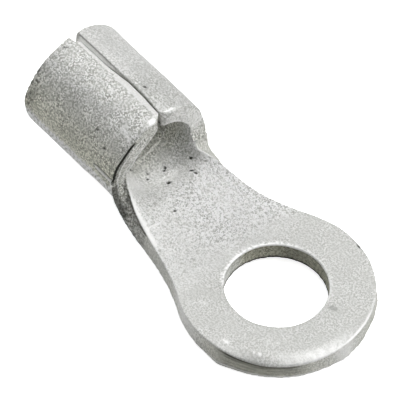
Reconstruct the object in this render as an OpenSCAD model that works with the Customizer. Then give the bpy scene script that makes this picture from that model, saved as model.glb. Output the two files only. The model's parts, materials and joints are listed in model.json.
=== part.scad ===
// Uninsulated ring terminal, stamped from one piece of tinned copper sheet.
// The flat blank is a ring plate, a waisted neck and a plain rectangle. The rectangle is
// rolled into a barrel that takes the wire, and its two edges meet on top in an open butt
// seam. The barrel's curl fades along the neck, so that the ring plate comes out flat.
// The origin is the centre of the stud hole on the plate's underside. +X runs from the
// barrel towards the ring's tip, and +Z runs up through the hole. Sizes are in millimetres.

/* [Sheet] */
// Thickness of the copper sheet
sheet_t = 1.25; // [0.8:0.05:1.6]

/* [Ring plate] */
// Diameter of the stud hole
hole_d = 6.4; // [4.3:0.1:8.4]
// Outside diameter of the ring
ring_d = 12.1; // [11:0.1:16]

/* [Neck] */
// Width of the blank at the waist of the neck
waist_w = 7.3; // [5:0.1:8]
// Distance from the barrel's front edge to the waist
waist_gap = 1.6; // [1.2:0.1:2.5]
// Radius of the fillet between the barrel's front edge and the neck
root_r = 0.85; // [0.4:0.05:1.1]
// Length over which the barrel's curl fades to the flat plate
fade_len = 6; // [4.5:0.1:6.5]
// How early the curl fades: at 1 it fades evenly, and higher values fade it near the barrel
fade_power = 2.5; // [2:0.1:3]

/* [Barrel] */
// Outside diameter of the barrel
barrel_d = 7.5; // [6:0.1:9]
// Length of the barrel
barrel_len = 8.35; // [6:0.05:12]
// Distance from the stud hole's centre to the barrel's front edge
barrel_x = 11.2; // [10.5:0.1:14]
// How far the barrel's underside lies below the plate's
barrel_drop = 0.68; // [0:0.02:1.2]

/* [Seam] */
// Gap between the two flaps at the wire end
seam_wire_gap = 0.4; // [0.2:0.05:1]
// Gap between the two flaps at the ring end
seam_ring_gap = 0.1; // [0.06:0.02:0.5]
// Radius of the flaps' corners at the wire end
flap_wire_r = 0.5; // [0.2:0.05:1]
// Radius of the flaps' corners at the ring end
flap_ring_r = 0.4; // [0.2:0.05:1]

/* [Hidden] */
$fn = 96;

// Dull tin plating
tin = "#BDBEBA";
// How far a cutting tool runs past the metal that it cuts
over = 1;
// The neck's root reaches this far into the tube's wall, and lies this far inside its faces
root_lap = 0.2;
root_tuck = 0.02;
// The neck's flanks end this far inside the ring's edge
ring_tuck = 0.05;
// Steps round the root fillet, along the flank and across the sheet
root_steps = 5;
flank_steps = 14;
cross_steps = 24;

ring_r = ring_d/2;
plate_mid = sheet_t/2;
// Radius and height of the barrel's axis, and the radius half way through its wall
barrel_r = barrel_d/2;
barrel_z = barrel_r - barrel_drop;
barrel_mid_r = barrel_r - sheet_t/2;
barrel_rear_x = -barrel_x - barrel_len;

// Each flank is one arc, which is tangent to the waist line and to the ring's edge
waist_x = barrel_x - waist_gap;
waist_half = waist_w/2;
flank_r = (waist_x^2 + waist_half^2 - ring_r^2)/(2*(ring_r - waist_half));
flank_angle = asin(waist_x/(ring_r + flank_r));

// Share of the barrel's curl that is left at x: 1 at the barrel, and 0 on the flat plate
function curl(x) = pow(max(0, min(1, 1 - (x + barrel_x)/fade_len)), fade_power);

// A point of the sheet at x, which lies t along the section from the centre line and off
// above the middle of the sheet. The section is an arc whose curvature is the curl that is
// left, and it turns into a straight line where the curl has gone.
function sheet_point(x, t, off) =
    let (k = curl(x)/barrel_mid_r,
         turn = k*t*180/PI,
         side = k > 0 ? sin(turn)/k : t,
         rise = k > 0 ? (1 - cos(turn))/k : 0)
    [x, side - off*sin(turn), plate_mid - barrel_drop*curl(x) + rise + off*cos(turn)];

// Stations along the neck: place, half width along the section, and half thickness.
// The first two lie inside the tube's wall, and the last lies inside the ring.
root_stations = [for (i = [1 : root_steps])
    let (a = 90*i/root_steps)
    [-barrel_x + root_r*(1 - cos(a)), waist_half + root_r*(1 - sin(a)), sheet_t/2]];
flank_stations = [for (i = [0 : flank_steps - 1])
    let (a = flank_angle*i/flank_steps)
    [-waist_x + flank_r*sin(a), waist_half + flank_r*(1 - cos(a)), sheet_t/2]];
stations = concat(
    [for (x = [-barrel_x - root_lap, -barrel_x])
        [x, waist_half + root_r - root_tuck, sheet_t/2 - root_tuck]],
    root_stations,
    flank_stations,
    [[-(ring_r - ring_tuck)*sin(flank_angle), (ring_r - ring_tuck)*cos(flank_angle), sheet_t/2]]);

// The section at a station as one loop: along the underside, and back along the top
function section(s) = [
    for (i = [0 : cross_steps]) sheet_point(s[0], s[1]*(2*i/cross_steps - 1), -s[2]),
    for (i = [cross_steps : -1 : 0]) sheet_point(s[0], s[1]*(2*i/cross_steps - 1), s[2])];

// Two triangles for each four-sided face
function triangles(quads) = [for (q = quads) each [[q[0], q[1], q[2]], [q[0], q[2], q[3]]]];

// The sheet between the barrel and the ring, lofted through the sections
module neck() {
    loop = 2*(cross_steps + 1);
    last = (len(stations) - 1)*loop;
    skin = [for (j = [0 : len(stations) - 2], i = [0 : loop - 1])
        let (a = j*loop, n = (i + 1)%loop)
        [a + i, a + loop + i, a + loop + n, a + n]];
    rear = [for (i = [0 : cross_steps - 1]) [i, i + 1, loop - 2 - i, loop - 1 - i]];
    front = [for (q = rear) [last + q[3], last + q[2], last + q[1], last + q[0]]];
    polyhedron(
        points = [for (s = stations) each section(s)],
        faces = triangles(concat(skin, rear, front)));
}

module ring() {
    cylinder(h = sheet_t, d = ring_d);
}

// Half of the seam's gap at x
function seam_half(x) =
    (seam_ring_gap + (seam_wire_gap - seam_ring_gap)*(-barrel_x - x)/barrel_len)/2;

// The waste between each flap's square corner and its rounded one. The corners are at the
// barrel's end, and dir points from there along the barrel.
module flap_corners(end_x, dir, r) {
    edge = seam_half(end_x + dir*r);
    for (side = [0, 1])
        mirror([0, side, 0])
            translate([end_x, edge, barrel_z])
                linear_extrude(height = barrel_r + over)
                    difference() {
                        translate([dir > 0 ? -over : -r, -edge])
                            square([r + over, edge + r]);
                        translate([dir*r, r])
                            circle(r = r);
                    }
}

// The rolled tube, with its butt seam on top
module barrel() {
    difference() {
        translate([barrel_rear_x, 0, barrel_z])
            rotate([0, 90, 0])
                difference() {
                    cylinder(h = barrel_len, d = barrel_d);
                    translate([0, 0, -over])
                        cylinder(h = barrel_len + 2*over, d = barrel_d - 2*sheet_t);
                }
        translate([0, 0, barrel_z])
            linear_extrude(height = barrel_r + over)
                polygon([for (p = [[barrel_rear_x - over, -1], [over - barrel_x, -1],
                                   [over - barrel_x, 1], [barrel_rear_x - over, 1]])
                    [p[0], p[1]*seam_half(p[0])]]);
        flap_corners(barrel_rear_x, 1, flap_wire_r);
        flap_corners(-barrel_x, -1, flap_ring_r);
    }
}

module ring_terminal() {
    color(tin)
        difference() {
            union() {
                barrel();
                neck();
                ring();
            }
            translate([0, 0, -over])
                cylinder(h = sheet_t + 2*over, d = hole_d);
        }
}

ring_terminal();
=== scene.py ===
# %% [markdown]
# # A bare ring terminal in tinned copper
# A terminal like this is one piece of copper sheet. A press cuts a flat blank, which is a
# ring, a waisted neck and a plain rectangle. A second tool rolls the rectangle into a
# barrel for the wire, and the part is then tumbled and plated with dull tin. This script
# works in the same order: it draws the blank, gives its cut edges the shape that a press
# leaves, rolls it with one formula, and plates it with one material.

# %% Tools and the frame
import json
import math

import bpy
import numpy as np
from mathutils import Matrix, Vector


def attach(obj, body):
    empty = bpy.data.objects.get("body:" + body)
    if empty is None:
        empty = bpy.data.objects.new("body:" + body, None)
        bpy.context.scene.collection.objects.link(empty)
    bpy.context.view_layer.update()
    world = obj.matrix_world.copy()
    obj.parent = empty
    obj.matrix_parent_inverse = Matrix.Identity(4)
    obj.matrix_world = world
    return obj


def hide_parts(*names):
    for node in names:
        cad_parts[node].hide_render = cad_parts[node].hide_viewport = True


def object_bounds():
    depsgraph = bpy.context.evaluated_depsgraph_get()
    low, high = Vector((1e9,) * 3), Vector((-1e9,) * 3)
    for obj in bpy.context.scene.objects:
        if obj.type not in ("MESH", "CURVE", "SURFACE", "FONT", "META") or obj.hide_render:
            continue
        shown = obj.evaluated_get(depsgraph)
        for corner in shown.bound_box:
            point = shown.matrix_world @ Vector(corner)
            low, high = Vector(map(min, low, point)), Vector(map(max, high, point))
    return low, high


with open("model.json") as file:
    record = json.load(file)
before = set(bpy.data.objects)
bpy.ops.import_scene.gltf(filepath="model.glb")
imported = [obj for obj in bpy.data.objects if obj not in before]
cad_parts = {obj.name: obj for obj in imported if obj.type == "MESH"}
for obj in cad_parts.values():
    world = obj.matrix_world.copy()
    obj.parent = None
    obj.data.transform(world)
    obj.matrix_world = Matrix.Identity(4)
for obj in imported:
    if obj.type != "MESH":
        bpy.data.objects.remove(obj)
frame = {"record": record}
cad_low, cad_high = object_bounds()
MM = 0.001
print("CAD box in mm:", [round(side / MM, 2) for side in cad_high - cad_low])

# %% [markdown]
# ## Sizes
# The frame holds the part's real sizes. They could be measured on the loaded CAD mesh, but
# the record's mounts say them exactly, so the script reads them there and repeats only
# what the frame doesn't say. Lengths are in millimetres until the mesh is made. Every
# point of the sheet has three blank coordinates: s runs along the part, from the middle of
# the hole and negative towards the barrel, t runs across it, measured along the sheet's
# curved middle and negative on the left, and w is the height above that middle.

# %% Sizes of the sheet, the ring and the barrel
mounts = {mount["name"]: mount for mount in frame["record"]["mounts"]}
hole_r = mounts["stud_hole"]["dims"]["r_mm"]
sheet_t = mounts["stud_hole"]["dims"]["length_mm"]
bore_r = mounts["wire_barrel"]["dims"]["r_mm"]
barrel_len = mounts["wire_barrel"]["dims"]["length_mm"]
rear_s = mounts["wire_barrel"]["pos_m"][0] / MM
axis_z = mounts["wire_barrel"]["pos_m"][2] / MM
ring_r = cad_high.x / MM

half_t = sheet_t / 2
mid_r = bore_r + half_t
outer_r = bore_r + sheet_t
front_s = rear_s + barrel_len
barrel_drop = half_t + mid_r - axis_z
print("barrel from", round(rear_s, 2), "to", round(front_s, 2), "mm, drop", round(barrel_drop, 2))

# %% [markdown]
# The neck is narrowest at its waist, just ahead of the barrel, and a round root leads
# there from the barrel's front edge. Its flanks could be free curves through chosen
# points, but each one in the photograph is a single arc that leaves the waist square and
# meets the ring at a tangent. That fixes its radius, and the angle on the ring where the
# two meet.

# %% Sizes of the neck
# Half the waist's width, how far it lies ahead of the barrel, and the root's radius.
WAIST_HALF = 3.65
WAIST_AHEAD = 1.6
ROOT_R = 0.85
waist_s = front_s + WAIST_AHEAD
root_s = front_s + ROOT_R
root_t = WAIST_HALF + ROOT_R
flank_r = (waist_s**2 + WAIST_HALF**2 - ring_r**2) / (2 * (ring_r - WAIST_HALF))
flank_t = WAIST_HALF + flank_r
tangent_angle = math.pi / 2 - math.asin(-waist_s / (ring_r + flank_r))
print("flank radius", round(flank_r, 2), "mm, meets the ring at",
      round(math.degrees(tangent_angle), 1), "degrees from the neck")

# %% [markdown]
# ## Soft curves
# Forms in pressed metal start and end softly, and so do wear and dirt. They could be drawn
# as curves by hand, but two formulas do for nearly all of them here, a smooth step and a
# raised cosine, and both take whole arrays. A broad bump and a plateau are built of these.

# %% Smooth steps and bumps
def ease(x):
    """Smooth step from 0 to 1: three times the square less twice the cube of x held to 0..1."""
    x = np.clip(x, 0, 1)
    return x * x * (3 - 2 * x)


def bump(x, centre, half_width):
    """A raised cosine: 1 at the centre, and 0 at half_width from it and beyond."""
    return (1 + np.cos(np.pi * np.clip((x - centre) / half_width, -1, 1))) / 2


def broad(x, centre, half_width, gain=2):
    """A bump with a flat top: the smooth step of the bump times the gain."""
    return ease(gain * bump(x, centre, half_width))


def plateau(x, start, rise, end, fall):
    """A smooth step up over the rise that begins at the start, times a smooth step down over
    the fall that stops at the end."""
    return ease((x - start) / rise) * ease((end - x) / fall)


def with_bumps(base, x, places):
    """The base plus a bump for each centre, half width and height in the list."""
    for centre, half_width, height in places:
        base = base + height * bump(x, centre, half_width)
    return base


print("a bump and a broad one, half way out:", bump(0.5, 0, 1), broad(0.5, 0, 1))

# %% [markdown]
# ## The seam
# The two flaps meet on top, and nothing closes the seam between them. The right one stops
# a little short of the middle, the left one passes it, and at the ring's end both swing
# back to it. At the rear the left one draws back and the seam stands open. A tube with a
# slot cut into it would have two straight edges, so each edge is a function of s instead.

# %% The flaps' edges
# Distances from the middle in mm, at the barrel's rear and at its front. The right edge
# keeps to its own side, and the left one goes past the middle. They swing over the length
# SWING, and the left one draws back by OPENED behind OPENED_END.
RIGHT_EDGE = (0.28, 0.07)
LEFT_EDGE = (0.20, 0.02)
SWING = 2.4
OPENED = 0.20
OPENED_END = -14.4
OPENED_FADE = 2.4


def opened(s):
    """1 where the seam stands open, at its rear, and 0 where it has closed."""
    return ease((OPENED_END - s) / OPENED_FADE)


def flap_end(s, right):
    """Length along the sheet from its centre line to a flap's edge. The edge's sideways
    place on the barrel's outside, over the outer radius, is its angle from the top. The
    left edge draws back where the seam stands open."""
    swing = ease((s - front_s + SWING) / SWING)
    right_y = RIGHT_EDGE[0] + (RIGHT_EDGE[1] - RIGHT_EDGE[0]) * swing
    left_y = LEFT_EDGE[0] + (LEFT_EDGE[1] - LEFT_EDGE[0]) * swing - OPENED * opened(s)
    return mid_r * (math.pi + np.where(right, -right_y, left_y) / outer_r)


def angle_from_top(t):
    """The barrel's angle in degrees, 0 at the seam and 180 at the floor."""
    return 180 - np.degrees(np.abs(t) / mid_r)


blank_widths = [float(flap_end(s, True) + flap_end(s, False)) for s in (rear_s, front_s)]
print("flat width at the rear and the front:", [round(width, 2) for width in blank_widths], "mm")

# %% [markdown]
# The flaps' corners are rounded. The left flap's rear edge is worn back, with a notch
# where it meets the seam, and the right flap's front edge is drawn back at its side.

# %% The barrel's two ends
# A round corner is a width across the flap and a length along it. The other places are a
# centre and a half width in degrees from the top, and a depth.
RIGHT_REAR_CORNER = (0.50, 0.34)
LEFT_REAR_CORNER = (0.22, 0.20)
FRONT_CORNER = (0.45, 0.36)
WORN_REAR = [(24, 32, 0.10), (56, 32, 0.09)]
RAGGED_REAR = (62, 22)
RAGGED_DEPTH = 0.03
NOTCH = 0.60
NOTCH_WIDTH = 0.32
NOTCH_SIDE = 0.09
DRAWN_SIDE = (76, 21)
DRAWN_BACK = 0.27


def rear_edge(t):
    """Where the barrel starts: square across, but for the left flap's wear, which two sine
    waves make ragged, and its notch."""
    around = angle_from_top(t)
    ragged = RAGGED_DEPTH * bump(around, *RAGGED_REAR) * (np.sin(17 * t) + np.sin(29 * t + 1))
    worn_back_and_lit_front = with_bumps(0, around, WORN_REAR) + ragged
    notch = NOTCH * ease((-t - flap_end(rear_s, False) + NOTCH_WIDTH) / NOTCH_SIDE)
    return rear_s + np.where(t < 0, np.maximum(worn_back_and_lit_front, notch), 0)


def front_edge(t):
    """Where the barrel ends: square across, but for the right flap's side, drawn back."""
    return front_s - DRAWN_BACK * (t > 0) * bump(angle_from_top(t), *DRAWN_SIDE)


def corner_size(rear, left):
    """Width and length of a flap's round corner."""
    corners = zip(LEFT_REAR_CORNER, RIGHT_REAR_CORNER, FRONT_CORNER)
    return [np.where(rear, np.where(left, a, b), c) for a, b, c in corners]


flap_middle = -(root_t + mid_r * math.pi) / 2
flap_length = float(front_edge(flap_middle) - rear_edge(flap_middle))
print("length of the left flap along its middle:", round(flap_length, 2), "mm")

# %% [markdown]
# ## A grid over the blank
# The blank could be a filled curve, but a fill's long triangles would show as creases once
# the sheet is rolled. So it is drawn as three grids that share their borders: the
# rectangle of the barrel, the neck, and a polar grid round the hole. Rows pack closer
# towards the cut edges, where the press has rounded the metal.

# %% Spacing
BARREL_ROWS = 92
FLAP_COLUMNS = 58
NECK_COLUMNS = 116
ROOT_ROWS = 12
NECK_ROWS = 54
RING_COLUMNS = 264
RING_ROWS = 24
BARREL_PULL = 0.8
FLAP_PULL = 0.6
NECK_PULL = 0.65
RING_PULL = 0.7


def packed(cells, pull):
    """Shares from 0 to 1, closer at both ends: even steps mixed with half a cosine wave."""
    u = np.linspace(0, 1, cells + 1)
    return (1 - pull) * u + pull * (1 - np.cos(np.pi * u)) / 2


def packed_end(cells, pull):
    """Shares above 0 up to 1, closer towards 1: even steps mixed with a quarter sine wave."""
    u = np.linspace(0, 1, cells + 1)[1:]
    return (1 - pull) * u + pull * np.sin(np.pi * u / 2)


across = 2 * packed(NECK_COLUMNS, NECK_PULL) - 1
print("narrowest and widest column of the neck:",
      [round(WAIST_HALF * float(step), 3) for step in (np.diff(across).min(), np.diff(across).max())], "mm")


# %% The barrel's grid
def round_corner(edge, end, corner):
    """Rounds a square corner. edge and end are distances from its two sides, and the
    square beside the corner goes to a quarter ellipse: each coordinate, counted from the
    square's inner point, shrinks by the root of 1 less half the other's square."""
    p = np.clip(1 - edge / corner[0], 0, 1)
    q = np.clip(1 - end / corner[1], 0, 1)
    new_edge = corner[0] * (1 - p * np.sqrt(1 - q * q / 2))
    new_end = corner[1] * (1 - q * np.sqrt(1 - p * p / 2))
    return np.where(p > 0, new_edge, edge), np.where(q > 0, new_end, end)


def barrel_grid():
    """Rows run across the rectangle, from the rear edge to the front one. Between the
    neck's roots a row is the neck's own spacing, and beyond them it stretches to the
    flap's edge."""
    share = packed(BARREL_ROWS, BARREL_PULL)[:, None]
    s = rear_s + barrel_len * share
    out = packed_end(FLAP_COLUMNS, FLAP_PULL)[None, :]
    both_ends = packed(FLAP_COLUMNS, FLAP_PULL)[None, 1:]
    left = -(root_t + (flap_end(s, False) - root_t) * both_ends[:, ::-1])
    right = root_t + (flap_end(s, True) - root_t) * out
    middle = root_t * across[None, :] + 0 * s
    t = np.concatenate([left, middle, right], axis=1)
    rear, front = rear_edge(t), front_edge(t)
    s = rear + (front - rear) * share
    to_edge = flap_end(s, t > 0) - np.abs(t)
    edge, back = round_corner(to_edge, s - rear, corner_size(True, t < 0))
    s = rear + back
    edge, ahead = round_corner(edge, front - s, FRONT_CORNER)
    s = front - ahead
    t = np.where(np.abs(t) > root_t, np.sign(t) * (flap_end(s, t > 0) - edge), t)
    return s, t


barrel_s, barrel_t = barrel_grid()
print("barrel:", barrel_s.shape, "points, from", round(float(barrel_s.min()), 2),
      "to", round(float(barrel_s.max()), 2), "mm")

# %% [markdown]
# The neck's rows start straight at the barrel and bend step by step into an arc round the
# hole, where the polar grid takes over.

# %% The neck's grid
JOIN_S = -5.5
join_t = flank_t - math.sqrt(flank_r**2 - (JOIN_S - waist_s) ** 2)
join_r = math.hypot(JOIN_S, join_t)
join_angle = math.atan2(join_t, -JOIN_S)


def neck_grid():
    """Each row starts and ends on the outline, at half width h. Its bend mixes an even
    spacing with the sine of the join's angle, and pulls the middle of the row towards the
    barrel by the cosine."""
    turn = np.linspace(0, np.pi / 2, ROOT_ROWS + 1)[1:]
    root = np.stack([front_s + ROOT_R * (1 - np.cos(turn)), WAIST_HALF + ROOT_R * (1 - np.sin(turn))])
    s = root_s + (JOIN_S - root_s) * np.linspace(0, 1, NECK_ROWS + 1)[1:]
    past = np.maximum(s - waist_s, 0)
    flank = np.stack([s, flank_t - np.sqrt(flank_r**2 - past**2)])
    s, half = np.concatenate([root, flank], axis=1)[:, :, None]
    bend = ease((s - waist_s) / (JOIN_S - waist_s))
    angle = join_angle * across[None, :]
    t = half * ((1 - bend) * across[None, :] + bend * np.sin(angle) / math.sin(join_angle))
    return s - bend * join_r * (np.cos(angle) - math.cos(join_angle)), t


neck_s, neck_t = neck_grid()
print("neck:", neck_s.shape, "points, joins the ring at radius", round(join_r, 2), "mm")

# %% [markdown]
# The ring's grid is polar, so its innermost circle is the punched hole, exactly round. Its
# outer border follows the neck's last row, then the flanks, then the ring's own circle.

# %% The ring's grid
NIL = 1e-9


def ring_grid():
    """Polar: angles from the neck's direction, and shares from the outline to the hole.
    The outline's radius is the join's arc, then the distance to the flank's arc along
    the ray, then the ring's own radius."""
    rest = np.linspace(join_angle, 2 * np.pi - join_angle, RING_COLUMNS + 1)[1:-1]
    angle = np.concatenate([join_angle * across, rest])
    side = np.abs(np.angle(np.exp(1j * angle)))
    along = -waist_s * np.cos(side) + flank_t * np.sin(side)
    square = waist_s**2 + flank_t**2 - flank_r**2
    ray = along - np.sqrt(np.maximum(along**2 - square, 0))
    outline = np.where(side < join_angle + NIL, join_r, np.where(side < tangent_angle, ray, ring_r))
    share = packed(RING_ROWS, RING_PULL)[:, None]
    radius = outline[None, :] * (1 - share) + hole_r * share
    return -radius * np.cos(angle), radius * np.sin(angle)


ring_s, ring_t = ring_grid()
print("ring:", ring_s.shape, "points, from radius", hole_r, "to", round(ring_r, 2), "mm")

# %% [markdown]
# The three grids are numbered so that a shared border uses the same points. They could be
# joined by merging points that lie close together, but numbers can't miss one. Walking
# round the outermost numbers gives the outline, and the innermost give the hole's edge.

# %% One numbering for the three grids
flat = np.concatenate([
    np.stack([barrel_s, barrel_t], -1).reshape(-1, 2),
    np.stack([neck_s, neck_t], -1).reshape(-1, 2),
    np.stack([ring_s[1:], ring_t[1:]], -1).reshape(-1, 2),
    np.stack([ring_s[0, NECK_COLUMNS + 1:], ring_t[0, NECK_COLUMNS + 1:]], -1)])

first = barrel_s.size
barrel_id = np.arange(first).reshape(barrel_s.shape)
neck_new = first + np.arange(neck_s.size).reshape(neck_s.shape)
low, high = FLAP_COLUMNS, FLAP_COLUMNS + NECK_COLUMNS + 1
neck_id = np.concatenate([barrel_id[-1:, low:high], neck_new])
first += neck_s.size
ring_new = first + np.arange(ring_s[1:].size).reshape(ring_s[1:].shape)
first += ring_new.size
ring_rim = first + np.arange(ring_s.shape[1] - NECK_COLUMNS - 1)
ring_id = np.concatenate([np.concatenate([neck_id[-1], ring_rim])[None, :], ring_new])

outline = np.concatenate([
    barrel_id[0, :], barrel_id[1:, -1], barrel_id[-1, -2:high - 2:-1], neck_id[1:, -1], ring_rim,
    neck_id[:0:-1, 0], barrel_id[-1, low::-1], barrel_id[-2:0:-1, 0]])
hole_edge = ring_id[-1]
print(len(flat), "points on the blank,", len(outline), "round it and", len(hole_edge), "round the hole")


def quads(ids, closed=False):
    """Four-sided faces between the neighbours in a grid of point numbers."""
    if closed:
        ids = np.concatenate([ids, ids[:, :1]], axis=1)
    return np.stack([ids[:-1, :-1], ids[1:, :-1], ids[1:, 1:], ids[:-1, 1:]], -1).reshape(-1, 4)


sheet_quads = np.concatenate([quads(barrel_id), quads(neck_id), quads(ring_id, closed=True)])

# %% [markdown]
# ## What the press leaves on a cut edge
# A punched edge is never square. The side that the punch enters is drawn down into a soft
# round, called die roll. Below it is a shiny sheared band, then a rough broken band that
# leans outwards, and the far side ends in a burr. The die roll is on the ring's top, which
# the rolling turns into the inside of the barrel, so the burr is outside there. A Bevel
# modifier would round every edge alike, so each point's distance from the nearest cut is
# worked out instead, and the forms follow from that.

# %% Distance from the cut edges
HAIR = 1e-6


def on_flaps(s, t):
    """True in the barrel's rear half, and in its front half beside the neck's roots. The
    edges that count there are the flaps' own. A hair of room takes in the border."""
    beside_neck = np.abs(t) > root_t - HAIR
    return (s < front_s + HAIR) & (beside_neck | (s < front_s - barrel_len / 2))


def edge_distance(s, t):
    """Distance to the nearest cut edge, and the share of it that belongs to the seam. Arcs
    give distance to their centre less radius, straight edges a difference, and a flap's
    round corner the gap left to its ellipse."""
    side = np.abs(t)
    from_hole = np.hypot(s, t) - hole_r
    angle = np.arctan2(side, -s)
    from_ring = np.where(angle > tangent_angle, ring_r - np.hypot(s, t),
                         np.hypot(s - waist_s, side - flank_t) - flank_r)
    from_root = np.hypot(s - root_s, side - root_t) - ROOT_R
    neck = np.where(s > root_s, WAIST_HALF - side, from_root)
    neck = np.where(s > waist_s, np.minimum(from_ring, from_hole), neck)

    edge = flap_end(s, t > 0) - side
    rear = s - rear_s < barrel_len / 2
    end = np.where(rear, s - rear_edge(t), front_edge(t) - s)
    corner = corner_size(rear, t < 0)
    p = np.clip(1 - edge / corner[0], 0, None)
    q = np.clip(1 - end / corner[1], 0, None)
    seam = p * p / np.maximum(p * p + q * q, NIL)
    reach = seam * corner[0] + (1 - seam) * corner[1]
    flap = np.where(p + q > 0, (1 - np.hypot(p, q)) * reach, np.minimum(edge, end))
    distance = np.where(on_flaps(s, t), flap, neck)
    return np.maximum(distance, 0), np.where(on_flaps(s, t), seam, 0)


def ring_angle(s, t):
    """Degrees round the hole: 0 at the ring's tip, 180 towards the barrel, and negative on
    the left."""
    return np.degrees(np.arctan2(t, s))


print("farthest place from a cut edge:", round(float(edge_distance(*flat.T)[0].max()), 2), "mm away")

# %% [markdown]
# The die roll is wide on the ring's rim, most of all at its tip, and small at the hole. On
# the outside of the barrel the left flap's edge is rolled over along the whole seam, and
# the right flap's is sharp.

# %% Die roll on the upper side
# Each pair is a width and a depth. A place is a centre and a half width in degrees.
TIP_ROLL = (0.95, 0.33)
TIP_ROLL_PLACE = (-36, 58)
RIM_ROLL = (0.12, 0.04)
HOLE_ROLL = (0.14, 0.07)


def soft_round(distance, width, depth):
    """How far a rounded edge has dropped: a quarter ellipse of that width and depth."""
    reach = np.clip(1 - distance / width, 0, 1)
    return depth * (1 - np.sqrt(1 - reach * reach))


def blend(first, second, share):
    """A (width, depth) pair between two pairs."""
    return [a + (b - a) * share for a, b in zip(first, second)]


def top_drop(s, t):
    """The die roll: small all round, and at the ring's tip a wide one besides, which grows
    as the square of the way to the edge."""
    distance, _ = edge_distance(s, t)
    near_hole = np.hypot(s, t) < (hole_r + ring_r) / 2
    tip = bump(ring_angle(s, t), *TIP_ROLL_PLACE) * ~near_hole * (s > JOIN_S)
    wide = TIP_ROLL[1] * tip * np.clip(1 - distance / TIP_ROLL[0], 0, 1) ** 2
    return wide + soft_round(distance, *blend(RIM_ROLL, HOLE_ROLL, near_hole * 1.0))


print("deepest die roll:", round(float(top_drop(*flat.T).max()), 2), "mm")

# %% Edges of the lower side
# A bevel's place is the angle from the top where it ends or begins, and the fade there.
SHARP = (0.06, 0.05)
BEVEL_LINE = 0.27
BEVEL_SLOPE = 0.28
BEVEL_HINGE = 0.002
BEVEL_ROUND_FRONT = (24, 16)
REAR_BEVEL = (0.60, 0.05)
REAR_BEVEL_LOW = (86, 14)
REAR_BEVEL_TOP = (6, 14)
SHOULDER_ROLL = (0.34, 0.16)
SHOULDER = [(14, 16, 1.0), (56, 40, 0.25)]


def bevel_width(s):
    """Width of the left flap's bevel, whose inner border runs straight beside the seam."""
    return BEVEL_LINE + outer_r * (flap_end(s, False) / mid_r - math.pi)


def bevel(distance, width, depth):
    """How far a bevelled edge has dropped: a straight slope with a soft hinge."""
    reach = 1 - distance / width
    return depth * (reach + np.sqrt(reach * reach + BEVEL_HINGE)) / 2


def under_drop(s, t):
    """Sharp, but for the left flap's bevel along the seam, which runs on round its front
    corner, another at the left of the rear edge, and the right flap's round shoulder."""
    distance, seam = edge_distance(s, t)
    around = angle_from_top(t)
    front_half = s > rear_s + barrel_len / 2
    drop = soft_round(distance, *SHARP)
    left = np.maximum(seam, front_half * ease((BEVEL_ROUND_FRONT[0] - around) / BEVEL_ROUND_FRONT[1]))
    width = bevel_width(s)
    drop = drop + (t < 0) * left * bevel(distance, width, BEVEL_SLOPE * width)
    rear = ease((around - REAR_BEVEL_LOW[0]) / REAR_BEVEL_LOW[1]) + bump(around, *REAR_BEVEL_TOP)
    drop = drop + (t < 0) * ~front_half * rear * (1 - seam) * bevel(distance, *REAR_BEVEL)
    shoulder = with_bumps(0, around, SHOULDER)
    return drop + (t > 0) * front_half * shoulder * (1 - seam / 2) * soft_round(distance, *SHOULDER_ROLL)


print("deepest edge of the lower side:", round(float(under_drop(*flat.T).max()), 2), "mm")

# %% [markdown]
# ## Rolling the sheet
# On the real part a tool rolls the rectangle up and leaves the ring flat, and the neck has
# to follow both. A Simple Deform modifier bends a whole mesh alike, so one formula does
# it here. A row of the sheet is an arc whose curvature is the barrel's at the barrel and
# fades along the neck by a power of the distance. The sheet climbs from the barrel's floor
# to the ring's height, and dips a little on the way, where the tool has pressed it.

# %% The rolling formula
# Each fade is its length along the neck and its power.
CURL_FADE = (7.5, 3.5)
CLIMB_FADE = (6.0, 5.0)
DIP = 0.2
DIP_LENGTH = 8.0


def fade(s, length, power):
    """What is left of the barrel's form at s: the share of the length still to go, to a power."""
    return np.clip(1 - (s - front_s) / length, 0, 1) ** power


def roll_up(s, t, w):
    """Blank to part. With k the curvature, a point t along the arc has turned by k t. It
    lies sin(k t)/k to the side and (1 - cos(k t))/k up, and w moves it along the arc's own
    upward direction. Where k is nil that is the flat sheet. A flap that leans past the
    barrel's end stays on the barrel's circle."""
    form = np.where((np.abs(t) > root_t) & (s < waist_s), np.minimum(s, front_s), s)
    k = fade(form, *CURL_FADE) / mid_r
    flat_here = k < HAIR
    safe = np.where(flat_here, 1, k)
    turn = k * t
    side = np.where(flat_here, t, np.sin(turn) / safe)
    rise = np.where(flat_here, 0, (1 - np.cos(turn)) / safe)
    dip = DIP * np.sin(np.pi * np.clip((form - front_s) / DIP_LENGTH, 0, 1)) ** 2
    middle = half_t - barrel_drop * fade(form, *CLIMB_FADE) - dip
    return np.stack([s, side - w * np.sin(turn), middle + rise + w * np.cos(turn)], -1)


print("the neck's flank rises to", round(float(roll_up(waist_s, WAIST_HALF, 0.0)[2]), 2), "mm at the waist")

# %% [markdown]
# ## Dents, pits and ripples
# Rolling and tumbling leave small marks. They could be sculpted by hand, but formulas can
# be run again and keep their real sizes. Broad ripples are sums of waves in seeded
# directions, and each pit or dent is a bell-shaped hollow at a chosen place on the blank.

# %% Ripples and dents
WAVES = 24


def ripple(s, t, length, height, seed):
    """Unevenness about length across: sine waves in seeded directions, scaled to height."""
    draw = np.random.default_rng(seed)
    heading = draw.uniform(0, 2 * np.pi, WAVES)
    wave = 2 * np.pi / (length * draw.uniform(0.7, 1.5, WAVES))
    phase = draw.uniform(0, 2 * np.pi, WAVES)
    total = np.zeros_like(s)
    for a, k, p in zip(heading, wave, phase):
        total = total + np.sin(k * (s * np.cos(a) + t * np.sin(a)) + p)
    return height * total / math.sqrt(WAVES / 2)


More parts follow.
